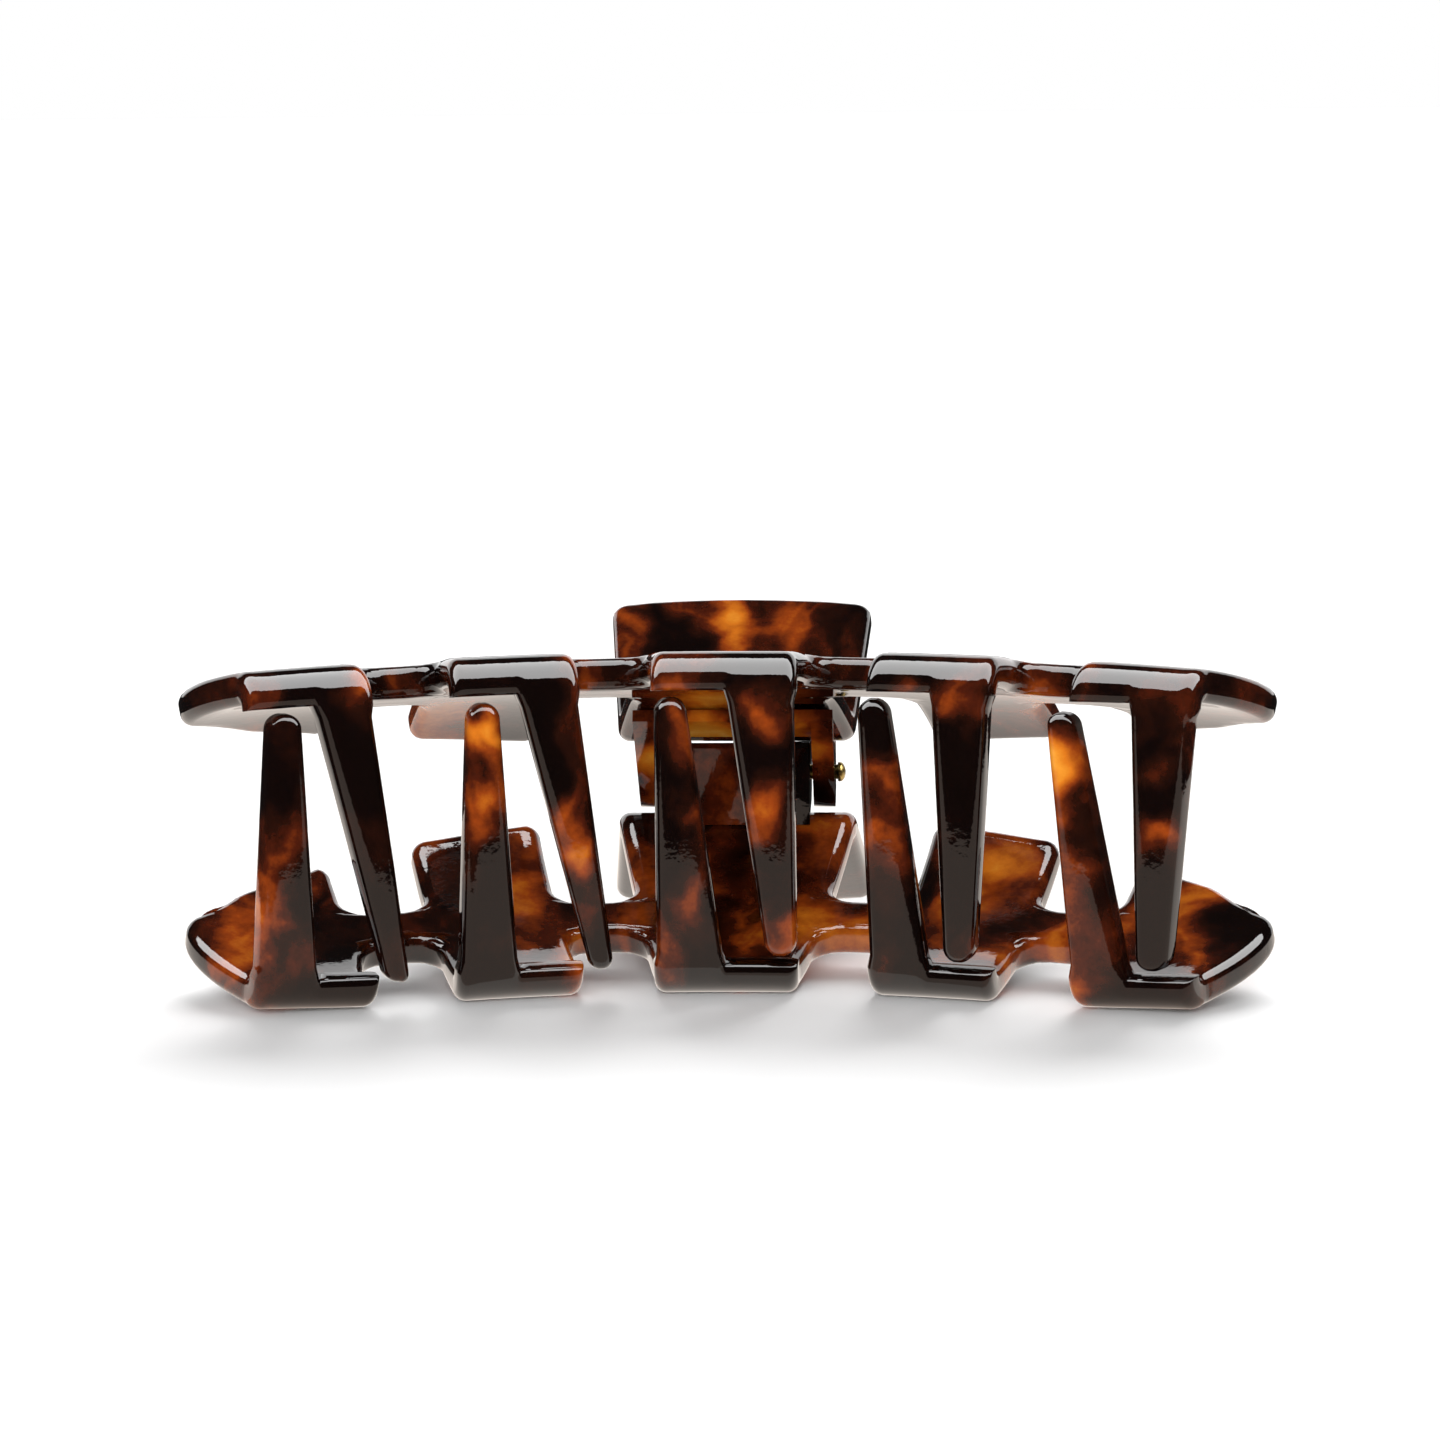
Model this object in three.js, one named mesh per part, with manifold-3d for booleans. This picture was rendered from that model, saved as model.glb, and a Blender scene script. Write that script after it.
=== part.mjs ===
// Large claw hair clip, closed and lying on its lower jaw.
// Millimetres. X runs along the clip, Y from the teeth to the handles, Z up.
// The two claws come from one mould: the lower is the upper turned half a turn about Y,
// apart from how its teeth are set.
import * as THREE from 'three';
import { mergeVertices } from 'three/addons/utils/BufferGeometryUtils.js';
import Module from 'manifold-3d';

const RAD = Math.PI / 180;

// ---- the moulded claw -------------------------------------------------------
const SHEET = 3.2;             // wall thickness of the whole claw
const FAN_RADIUS = 106.5;      // from the centre of the fan to the waist line
const WAIST_GAP = 7.5;         // between the two claws at the waist, where they are nearest
const WAIST_BEND = 2.2;        // mid-wall radius of the fold between blade and handle
const WAIST_SLOPE = 35;        // rise of the wall just in front of the waist, degrees
const CROWN_RADIUS = 52.9;     // mid-wall radius of the domed wall in front of the waist
const FRONT_SLOPE = 6;         // rise left where the wall folds down into the teeth
const FRONT_BEND = 2.2;        // mid-wall radius of that fold
const HANDLE_SLOPE = 30;       // rise of the handle tab behind the waist
const HANDLE_LENGTH = 19.1;    // flat part of the tab along its slope
const SPINE_REAR = 13.5;       // the spine bar lies between these distances from the waist
const SPINE_FRONT = 19.6;
const FLAT_TO = 9;             // the middle blade is flat across from here back
const FILLET = 2.6;            // inside corners between blades and spine
const TOOTH_LENGTH = 25.8;     // from the end of a blade's front face to the tip
const TOOTH_ROOT = 0.2;        // how far a tooth starts from its blade's axis
const FACE_TURN = 0.9;         // share of the fold that a blade's front face keeps
const TOOTH_STEP = 0.3;        // how far a tooth's outer edge stands in from its blade's

// Each blade: its angle in the fan, then half widths towards the middle of the clip and
// away from it, at the front fold, at the spine and at the back end; where the back end
// lies at its inner and outer corners; half its spread at the front fold, in degrees; and
// how much of its taper lies on the spine. The end blade's outer side is one long bulge,
// fullest a third of the way forward.
const BLADES = [
  {
    angle: 0, spread: 5.2, waisted: 0.4,
    front: [7, 7], spine: [9.6, 9.6], back: [12.1, 12.1], end: [0, 0],
  },
  {
    angle: 14.7, spread: 4.6, waisted: 0.4,
    front: [6.2, 6.2], spine: [6.5, 6.5], back: [6.7, 6.7], end: [0.4, 2],
  },
  {
    angle: 28.9, spread: 4.4, waisted: 0.2, bulge: 2,
    front: [5.6, 6], spine: [8.5], back: [9.6, 6], end: [5, 10.5],
  },
];

// The teeth were set by hand after bending. For each, from the claw's left to its right:
// how far its tip leans to the right, how much longer it is than TOOTH_LENGTH, and how
// wide it is where its round tip starts.
const UPPER_TEETH = [[3.1, 1.9, 2.5], [3.1, 1.1, 2.5], [0.2, 0, 3.2], [-1.5, 0, 3.2], [-2.1, 0, 3]];
const LOWER_TEETH = [[2.5, 0, 2.8], [1.2, 0, 3.1], [0, 0, 3.2], [-1.2, 0, 3.2], [-1.7, 0, 3]];
const BLADE_CORNER = 1.1;        // rounding of a blade's back corners
const BULGE_POWER = 0.6;         // below 1, so the end blade's bulge is fullest at the back
const HANDLE_HALF_WIDTH = 13.8;  // at the tip of the tab
const HANDLE_CORNER = 2.4;
const HANDLE_ARCH = 0.8;         // rise of the tab's end between its corners
const SET_BACK_FROM = 23.7;      // beyond this angle the front fold is set back,
const SET_BACK_RATE = 0.38;      // by this many millimetres a degree

// ---- the hinge --------------------------------------------------------------
const PIN_BEHIND_WAIST = 3;
const PIN_RADIUS = 0.75;
const PIN_HOLE_RADIUS = 1.05;
const PIN_HEAD_RADIUS = 1;
const PIN_HEAD_HEIGHT = 0.8;
const PIN_CHAMFER = 0.15;        // at the left-hand end
const PIN_NECK = 0.25;           // shank left showing between lug and head
const OUTER_LUG = [7.8, 10];     // the upper bracket's ears, from and to along X
const INNER_LUG = [5.4, 7.5];    // the lower bracket's ears
const OUTER_LUG_RADIUS = 3.6;
const INNER_LUG_RADIUS = 3.4;
const EAR_TOP_TURN = 100;        // where an ear's round end starts, degrees from the back
const SEAT_REAR = 0.8;           // an ear's seat on the claw ends here, from the waist
const BOND_GAP = 0.3;            // between a bracket and the claw it is bonded to
const PAD_THICKNESS = 1.2;
const PAD_REAR = 5;              // the upper bracket's pad, along the claw from the waist
const PAD_FRONT = 10;
const WEB_FRONT = 2.8;           // front face of the lower bracket's web, before the waist
const WEB_THICKNESS = 2;
const WEB_TOP = 3.9;             // its height above the pin
const WEB_CORNER = 0.5;          // bevel along the top of the web

// ---- the spring -------------------------------------------------------------
const WIRE_RADIUS = 0.45;
const COIL_RADIUS = 2.4;
const COIL_HALF_WIDTH = 3.4;
const COIL_TURNS = 6;
const LEG_REACH = 11;            // where a leg bears on its handle, along the tab

const wasm = await Module();
wasm.setup();

// ---- solids -----------------------------------------------------------------
function toManifold(geometry) {
  const bare = geometry.clone();
  bare.deleteAttribute('normal');
  bare.deleteAttribute('uv');
  const merged = mergeVertices(bare, 1e-5);
  return new wasm.Manifold(new wasm.Mesh({
    numProp: 3,
    vertProperties: new Float32Array(merged.attributes.position.array),
    triVerts: new Uint32Array(merged.index.array),
  }));
}

function toGeometry(solid) {
  const mesh = solid.getMesh();
  const geometry = new THREE.BufferGeometry();
  geometry.setAttribute('position', new THREE.BufferAttribute(mesh.vertProperties, 3));
  geometry.setIndex(new THREE.BufferAttribute(mesh.triVerts, 1));
  return geometry;
}

// ---- the wall of a claw -----------------------------------------------------
// One step along a path: an arc, or a straight where the bend is zero.
function step(at, length, bend) {
  const heading = at.heading + bend * length;
  if (bend === 0) {
    return {
      forward: at.forward + length * Math.cos(heading),
      up: at.up + length * Math.sin(heading),
      heading,
    };
  }
  return {
    forward: at.forward + (Math.sin(heading) - Math.sin(at.heading)) / bend,
    up: at.up - (Math.cos(heading) - Math.cos(at.heading)) / bend,
    heading,
  };
}

const WAIST_ARC = WAIST_BEND * WAIST_SLOPE * RAD;
const CROWN_ARC = CROWN_RADIUS * (WAIST_SLOPE - FRONT_SLOPE) * RAD;
const HANDLE_ARC = WAIST_BEND * HANDLE_SLOPE * RAD;

function setBack(angle) {
  return SET_BACK_RATE * Math.max(0, Math.abs(angle) - SET_BACK_FROM);
}

function foldStart(angle) {
  return WAIST_ARC + CROWN_ARC - setBack(angle);
}

// The turn that leaves the teeth upright, as a length along the mid wall.
function foldLength(angle) {
  const slope = FRONT_SLOPE * RAD + setBack(angle) / CROWN_RADIUS;
  return FRONT_BEND * (slope + 90 * RAD);
}

// The mid wall at a distance along it from the waist, positive towards the teeth. The
// middle blade folds up into the handle behind the waist. The others stop there.
function alongWall(distance, angle, isMiddle) {
  let at = { forward: 0, up: (WAIST_GAP + SHEET) / 2, heading: 0 };
  if (distance < 0 && isMiddle) {
    const bent = Math.min(-distance, HANDLE_ARC);
    at = step(at, bent, 1 / WAIST_BEND);
    at = step(at, -distance - bent, 0);
    return { forward: -at.forward, up: at.up, heading: -at.heading };
  }
  const waist = isMiddle ? Math.min(distance, WAIST_ARC) : WAIST_ARC;
  at = step(at, waist, 1 / WAIST_BEND);
  if (distance <= WAIST_ARC) {
    return step(at, distance - waist, 0);
  }
  const fold = foldStart(angle);
  at = step(at, Math.min(distance, fold) - WAIST_ARC, -1 / CROWN_RADIUS);
  if (distance > fold) {
    const turned = Math.min(distance - fold, foldLength(angle));
    at = step(at, turned, -1 / FRONT_BEND);
    at = step(at, distance - fold - turned, 0);
  }
  return at;
}

// A point of the upper claw: angle in the fan, distance along the wall, and height off
// the mid wall. The middle blade's back and its handle are straight across.
function wallPoint(angle, distance, offset, isMiddle) {
  const at = alongWall(distance, angle, isMiddle);
  const forward = at.forward - offset * Math.sin(at.heading);
  const up = at.up + offset * Math.cos(at.heading);
  const radius = FAN_RADIUS - forward;
  const curve = isMiddle ? THREE.MathUtils.smoothstep(distance, FLAT_TO, SPINE_REAR) : 1;
  const sag = radius * (1 - Math.cos(angle * RAD));
  return new THREE.Vector3(radius * Math.sin(angle * RAD), -forward - curve * sag, up);
}

// ---- the flat pattern of a claw ---------------------------------------------
// The pattern is a patchwork of four-cornered cells, each corner [angle, distance].
function ladder(rungs) {
  const cells = [];
  for (let i = 0; i + 1 < rungs.length; i += 1) {
    for (let j = 0; j + 1 < rungs[i].length; j += 1) {
      cells.push([rungs[i][j], rungs[i + 1][j], rungs[i + 1][j + 1], rungs[i][j + 1]]);
    }
  }
  return cells;
}

function mix(a, b, t) {
  return a + (b - a) * t;
}

function spread(from, to, count) {
  return Array.from({ length: count + 1 }, (_, i) => mix(from, to, i / count));
}

// How far a quarter round of unit radius stands in from its tangent at a height t.
function quarterRound(t) {
  return 1 - Math.sqrt(1 - (1 - t) ** 2);
}

// Extra width that rounds an inside corner, at a gap from the edge of the spine.
function fillet(gap) {
  return gap >= FILLET ? 0 : FILLET * quarterRound(Math.max(gap, 0) / FILLET);
}

const ACROSS = 4;          // cells across a blade, and half as many across a tooth
const ALONG_SPINE = 3;     // cells across the spine's width
const BETWEEN = 4;         // cells along the spine between two blades

// Half width of one side of a blade, 0 inner and 1 outer, at a distance along the wall.
function halfWidth(blade, side, distance) {
  if (blade.spine[side] === undefined) {
    const front = foldStart(blade.angle + blade.spread);
    const t = Math.min(1, Math.max(0, (distance - blade.end[side]) / (front - blade.end[side])));
    const swell = Math.sin(Math.PI * t ** BULGE_POWER);
    return mix(blade.back[side], blade.front[side], t) + blade.bulge * swell;
  }
  const stations = [
    [blade.end[side], blade.back[side]],
    [SPINE_REAR, blade.spine[side]],
    [SPINE_FRONT, mix(blade.spine[side], blade.front[side], blade.waisted)],
    [foldStart(blade.angle + blade.spread * side), blade.front[side]],
  ];
  const after = stations.findIndex(([at]) => at >= distance);
  const last = stations[stations.length - 1];
  if (distance < 0) {
    const out = Math.min(1, distance / -(HANDLE_ARC + HANDLE_LENGTH));
    return mix(blade.back[side], HANDLE_HALF_WIDTH, out);
  }
  let width = last[1];
  if (after === 0) {
    width = stations[0][1];
  } else if (after > 0) {
    const [[d0, w0], [d1, w1]] = [stations[after - 1], stations[after]];
    width = mix(w0, w1, (distance - d0) / (d1 - d0));
  }
  const gap = Math.max(SPINE_REAR - distance, distance - SPINE_FRONT, 0);
  return width + fillet(gap);
}

// Sideways millimetres from the blade's axis, turned into an angle in the fan.
function fanAngle(centre, distance, width, isMiddle) {
  const radius = FAN_RADIUS - alongWall(distance, centre, isMiddle).forward;
  return centre + Math.asin(width / radius) / RAD;
}

// The rungs of one blade, from its back end to its front face, and those of its tooth.
// index runs from the leftmost blade, negative, to the rightmost; lean, longer and tip
// are its tooth's own.
function bladeRungs(index, [lean, longer, tip]) {
  const blade = BLADES[Math.abs(index)];
  const isMiddle = index === 0;
  const hand = index < 0 ? -1 : 1;
  const centre = hand * blade.angle;
  const rung = (distanceAt, inset = 0) => spread(-1, 1, ACROSS).map((at) => {
    const side = at * hand < 0 ? 0 : 1;
    const distance = distanceAt(at * hand);
    const edge = halfWidth(blade, side, distanceAt(side === 0 ? -1 : 1));
    return [fanAngle(centre, distance, at * (edge - inset), isMiddle), distance];
  });
  const edgeAngle = (at) => blade.angle + at * blade.spread;
  const rungs = [];
  let behind = (at) => mix(blade.end[0], blade.end[1], (at + 1) / 2) + BLADE_CORNER;
  if (isMiddle) {
    const tabEnd = -HANDLE_ARC - HANDLE_LENGTH;
    for (const t of spread(0, 1, 4)) {
      const end = (at) => tabEnd + HANDLE_CORNER * t + HANDLE_ARCH * at * at * (1 - t);
      rungs.push(rung(end, HANDLE_CORNER * quarterRound(t)));
    }
    for (const t of spread(0, 1, 3).slice(1)) {
      rungs.push(rung(() => mix(tabEnd + HANDLE_CORNER, -HANDLE_ARC, t)));
    }
    for (const distance of [-HANDLE_ARC / 2, 0, WAIST_ARC / 2]) {
      rungs.push(rung(() => distance));
    }
    behind = () => WAIST_ARC;
  } else {
    for (const t of [0, 0.4]) {
      const end = (at) => behind(at) - BLADE_CORNER * (1 - t);
      rungs.push(rung(end, BLADE_CORNER * quarterRound(t)));
    }
  }
  const start = (at) => Math.max(SPINE_REAR - FILLET, behind(at));
  for (const t of [0, 0.5]) {
    rungs.push(rung((at) => mix(behind(at), start(at), t)));
  }
  for (const gap of [1, 0.6, 0.3, 0.1]) {
    rungs.push(rung((at) => mix(SPINE_REAR, start(at), gap)));
  }
  for (const distance of spread(SPINE_REAR, SPINE_FRONT, ALONG_SPINE)) {
    rungs.push(rung(() => distance));
  }
  for (const gap of [0.1, 0.3, 0.6, 1]) {
    rungs.push(rung(() => SPINE_FRONT + FILLET * gap));
  }
  for (const t of [0.5, 1]) {
    rungs.push(rung((at) => mix(SPINE_FRONT + FILLET, foldStart(edgeAngle(at)), t)));
  }
  const face = (at) => foldStart(edgeAngle(at)) + FACE_TURN * foldLength(edgeAngle(at));
  for (const t of spread(0, 1, 5).slice(1)) {
    rungs.push(rung((at) => mix(foldStart(edgeAngle(at)), face(at), t)));
  }

  // The tooth takes the right half of the blade, whichever side of the clip it is on.
  const root = rungs[rungs.length - 1].slice(ACROSS / 2);
  const right = blade.front[hand > 0 ? 1 : 0];
  const tooth = [root];
  const toothRung = (length, left, to) => spread(left, to, ACROSS / 2).map((width) => {
    const at = width / right * hand;
    const distance = face(at) + length;
    const aside = width + lean * length / TOOTH_LENGTH;
    return [fanAngle(centre, distance, aside, isMiddle), distance];
  });
  const outer = right - TOOTH_STEP;
  const straight = TOOTH_LENGTH + longer - tip / 2;
  for (const t of [0.04, 0.2, 0.4, 0.6, 0.8, 1]) {
    const left = mix(TOOTH_ROOT, outer - tip, t);
    tooth.push(toothRung(straight * t, left, outer));
  }
  for (const turn of [30, 60, 80]) {
    const inset = tip / 2 * (1 - Math.cos(turn * RAD));
    const length = straight + tip / 2 * Math.sin(turn * RAD);
    tooth.push(toothRung(length, outer - tip + inset, outer - inset));
  }
  return { rungs, tooth, isMiddle };
}

// The spine between one blade and the next: shares the blades' own edge points.
function spineLink(left, right) {
  const crossing = left.rungs.filter((rung) => onSpine(rung));
  const next = right.rungs.filter((rung) => onSpine(rung));
  return crossing.map((rung, i) => {
    const [from, distance] = rung[ACROSS];
    const to = next[i][0][0];
    return spread(from, to, BETWEEN).map((angle) => [angle, distance]);
  });
}

function onSpine(rung) {
  return rung.every(([, distance]) => distance > SPINE_REAR - 1e-6
    && distance < SPINE_FRONT + 1e-6);
}

// One closed wall from all the cells: both faces, and a side wall on every open edge.
function clawGeometry(teeth) {
  const last = BLADES.length - 1;
  const blades = teeth.map((tooth, i) => bladeRungs(i - last, tooth));
  const cells = [];
  for (const blade of blades) {
    for (const cell of [...ladder(blade.rungs), ...ladder(blade.tooth)]) {
      cells.push({ cell, isMiddle: blade.isMiddle });
    }
  }
  for (let i = 0; i + 1 < blades.length; i += 1) {
    for (const cell of ladder(spineLink(blades[i], blades[i + 1]))) {
      cells.push({ cell, isMiddle: false });
    }
  }
  const points = [];
  const numbers = new Map();
  const number = ([angle, distance], isMiddle) => {
    const key = `${angle.toFixed(4)} ${distance.toFixed(4)}`;
    if (!numbers.has(key)) {
      numbers.set(key, points.length / 2);
      points.push(wallPoint(angle, distance, SHEET / 2, isMiddle));
      points.push(wallPoint(angle, distance, -SHEET / 2, isMiddle));
    }
    return numbers.get(key);
  };
  const triangles = [];
  const edges = new Map();
  for (const { cell, isMiddle } of cells) {
    const corners = cell.map((corner) => number(corner, isMiddle));
    const [a, b, c, d] = corners.map((n) => 2 * n);
    triangles.push([a, b, c], [a, c, d], [c + 1, b + 1, a + 1], [d + 1, c + 1, a + 1]);
    corners.forEach((from, i) => {
      const to = corners[(i + 1) % 4];
      if (!edges.delete(`${to} ${from}`)) {
        edges.set(`${from} ${to}`, [2 * from, 2 * to]);
      }
    });
  }
  for (const [a, b] of edges.values()) {
    triangles.push([b, a, a + 1], [b, a + 1, b + 1]);
  }
  const geometry = new THREE.BufferGeometry().setFromPoints(points);
  geometry.setIndex(triangles.flat());
  return geometry;
}

// ---- hinge brackets, pin and spring -----------------------------------------
// A point of the claw's inner face, clear of it by a gap, as [y, z].
function seat(distance, gap) {
  const point = wallPoint(0, distance, -SHEET / 2 - gap, true);
  return [point.y, point.z];
}

// The distance along the wall at which the seat reaches a given y.
function seatDistance(y) {
  let [near, far] = [0, SPINE_REAR];
  for (let i = 0; i < 30; i += 1) {
    const middle = (near + far) / 2;
    [near, far] = seat(middle, BOND_GAP)[0] > y ? [middle, far] : [near, middle];
  }
  return near;
}

// A plate with a side view given as [y, z] points, between two values of X.
function plate(outline, from, to) {
  const shape = new THREE.Shape(outline.map(([y, z]) => new THREE.Vector2(y, z)));
  const geometry = new THREE.ExtrudeGeometry(shape, { depth: to - from, bevelEnabled: false });
  const [x, y, z] = [[1, 0, 0], [0, 1, 0], [0, 0, 1]].map((v) => new THREE.Vector3(...v));
  geometry.applyMatrix4(new THREE.Matrix4().makeBasis(y, z, x));
  geometry.translate(from, 0, 0);
  return toManifold(geometry);
}

// The round end of an ear: from above the pin, round the back, to where a line from a
// point in front of it meets the circle from below.
function roundEnd(radius, [y, z]) {
  const away = Math.hypot(y - PIN_BEHIND_WAIST, z);
  const towards = Math.atan2(z, y - PIN_BEHIND_WAIST) / RAD;
  const meets = (towards < 0 ? towards + 360 : towards) + Math.acos(radius / away) / RAD - 360;
  return spread(EAR_TOP_TURN, meets, 20).map((turn) => [
    PIN_BEHIND_WAIST + radius * Math.cos(turn * RAD),
    radius * Math.sin(turn * RAD),
  ]);
}

function pinHole() {
  const hole = new THREE.CylinderGeometry(
    PIN_HOLE_RADIUS,
    PIN_HOLE_RADIUS,
    4 * OUTER_LUG[1],
    32,
  );
  hole.rotateZ(90 * RAD);
  hole.translate(0, PIN_BEHIND_WAIST, 0);
  return toManifold(hole);
}

function bracket(web, ear, [inner, outer]) {
  return plate(web, -outer, outer)
    .add(plate(ear, inner, outer))
    .add(plate(ear, -outer, -inner))
    .subtract(pinHole());
}

// Upper bracket: a pad bonded under the claw's inner face, with an ear at each end.
function outerBracket() {
  const toe = seat(PAD_FRONT, BOND_GAP + PAD_THICKNESS);
  const pad = [
    ...spread(PAD_FRONT, PAD_REAR, 4).map((distance) => seat(distance, BOND_GAP)),
    seat(PAD_REAR, BOND_GAP + PAD_THICKNESS),
    toe,
  ];
  const ear = [
    ...spread(PAD_FRONT, SEAT_REAR, 8).map((distance) => seat(distance, BOND_GAP)),
    ...roundEnd(OUTER_LUG_RADIUS, toe),
    toe,
  ];
  return bracket(pad, ear, OUTER_LUG);
}

// Lower bracket: an upright web in front of the pin, with an ear at each end. It is
// drawn in the upper claw's frame and turned over with the lower claw.
function innerBracket() {
  const front = -WEB_FRONT;
  const back = front + WEB_THICKNESS;
  const nose = [front + WEB_CORNER, -WEB_TOP];
  const foot = spread(seatDistance(front), SEAT_REAR, 6)
    .map((distance) => seat(distance, BOND_GAP));
  const web = [
    nose,
    [front, -WEB_TOP + WEB_CORNER],
    ...foot.filter(([y]) => y < back),
    [back, -WEB_TOP + 2 * WEB_CORNER],
  ];
  const ear = [
    nose,
    [front, -WEB_TOP + WEB_CORNER],
    ...foot,
    ...roundEnd(INNER_LUG_RADIUS, nose),
  ];
  return bracket(web, ear, INNER_LUG);
}

// A straight shank with a small domed head at the right-hand end.
function pinGeometry() {
  const end = OUTER_LUG[1];
  const dome = spread(0, 90, 5).map((turn) => new THREE.Vector2(
    PIN_HEAD_RADIUS * Math.cos(turn * RAD),
    end + PIN_NECK + PIN_HEAD_HEIGHT * (0.3 + 0.7 * Math.sin(turn * RAD)),
  ));
  const profile = [
    new THREE.Vector2(0, -end),
    new THREE.Vector2(PIN_RADIUS - PIN_CHAMFER, -end),
    new THREE.Vector2(PIN_RADIUS, -end + PIN_CHAMFER),
    new THREE.Vector2(PIN_RADIUS, end + PIN_NECK),
    new THREE.Vector2(PIN_HEAD_RADIUS, end + PIN_NECK),
    ...dome.slice(0, -1),
    new THREE.Vector2(0, end + PIN_NECK + PIN_HEAD_HEIGHT),
  ];
  const geometry = new THREE.LatheGeometry(profile, 20);
  geometry.rotateZ(-90 * RAD);
  geometry.translate(0, PIN_BEHIND_WAIST, 0);
  return geometry;
}

// The wire's centre line: a leg on the lower handle, the coil, a leg on the upper one.
class SpringLine extends THREE.Curve {
  constructor() {
    super();
    // The legs bear on the handles' inner faces, this far from the pin.
    const [y, z] = seat(-HANDLE_ARC, BOND_GAP + WIRE_RADIUS);
    const off = z * Math.cos(HANDLE_SLOPE * RAD)
      - (y - PIN_BEHIND_WAIST) * Math.sin(HANDLE_SLOPE * RAD);
    this.legFar = Math.hypot(LEG_REACH, off);
    this.farTurn = HANDLE_SLOPE * RAD + Math.atan2(off, LEG_REACH);
    this.leaveTurn = this.farTurn + Math.acos(COIL_RADIUS / this.legFar);
    this.leg = Math.sqrt(this.legFar ** 2 - COIL_RADIUS ** 2);
    this.sweep = 2 * Math.PI * (COIL_TURNS + 1) - 2 * this.leaveTurn;
    this.coil = COIL_RADIUS * this.sweep;
    this.total = this.coil + 2 * this.leg;
  }

  getPoint(t, target = new THREE.Vector3()) {
    const along = t * this.total;
    const point = (x, radius, turn) => target.set(
      x,
      PIN_BEHIND_WAIST + radius * Math.cos(turn),
      radius * Math.sin(turn),
    );
    const onLeg = (x, way, left) => {
      const far = point(x, this.legFar, way * this.farTurn).clone();
      const near = point(x, COIL_RADIUS, way * this.leaveTurn).clone();
      return target.copy(near.lerp(far, left));
    };
    if (along < this.leg) {
      return onLeg(-COIL_HALF_WIDTH, -1, 1 - along / this.leg);
    }
    if (along > this.leg + this.coil) {
      return onLeg(COIL_HALF_WIDTH, 1, (along - this.leg - this.coil) / this.leg);
    }
    const wound = (along - this.leg) / this.coil;
    const x = mix(-COIL_HALF_WIDTH, COIL_HALF_WIDTH, wound);
    return point(x, COIL_RADIUS, -this.leaveTurn - wound * this.sweep);
  }
}

function springGeometry() {
  const section = new THREE.Shape();
  section.absarc(0, 0, WIRE_RADIUS, 0, 2 * Math.PI);
  return new THREE.ExtrudeGeometry(section, {
    steps: 130,
    curveSegments: 4,
    extrudePath: new SpringLine(),
  });
}

// ---- assembly ---------------------------------------------------------------
const shell = { color: '#2a1710', roughness: 0.12, metalness: 0 };
const brass = { color: '#a08a4c', roughness: 0.3, metalness: 1 };
const steel = { color: '#b4b6b8', roughness: 0.3, metalness: 1 };

function part(name, geometry, look) {
  const mesh = new THREE.Mesh(geometry, new THREE.MeshStandardMaterial(look));
  mesh.name = name;
  return mesh;
}

const upper = new THREE.Group();
upper.add(part('upper_claw', clawGeometry(UPPER_TEETH), shell));
upper.add(part('upper_hinge_bracket', toGeometry(outerBracket()), shell));
upper.add(part('hinge_pin', pinGeometry(), brass));

const lower = new THREE.Group();
lower.add(part('lower_claw', clawGeometry(LOWER_TEETH), shell));
lower.add(part('lower_hinge_bracket', toGeometry(innerBracket()), shell));
lower.rotation.y = Math.PI;

const clip = new THREE.Group();
clip.add(upper, lower);
clip.add(part('torsion_spring', springGeometry(), steel));

// The origin is under the middle of the clip, on the surface that it lies on.
clip.updateMatrixWorld(true);
const box = new THREE.Box3().setFromObject(clip, true);
const centre = box.getCenter(new THREE.Vector3());
clip.position.set(-centre.x, -centre.y, -box.min.z);

export default clip;
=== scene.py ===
# %% [markdown]
# # A tortoiseshell claw clip
# A claw clip is two curved claws of cellulose acetate that a spring holds shut. The
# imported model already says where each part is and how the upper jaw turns. This script
# adds the looks: softly rounded acetate, a brass pin, a wound spring, and the light that
# polished acetate needs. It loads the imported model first, because every size and place
# below is worked out from it.

import bmesh
import bpy
import numpy as np
from mathutils import Matrix, Vector


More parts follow.
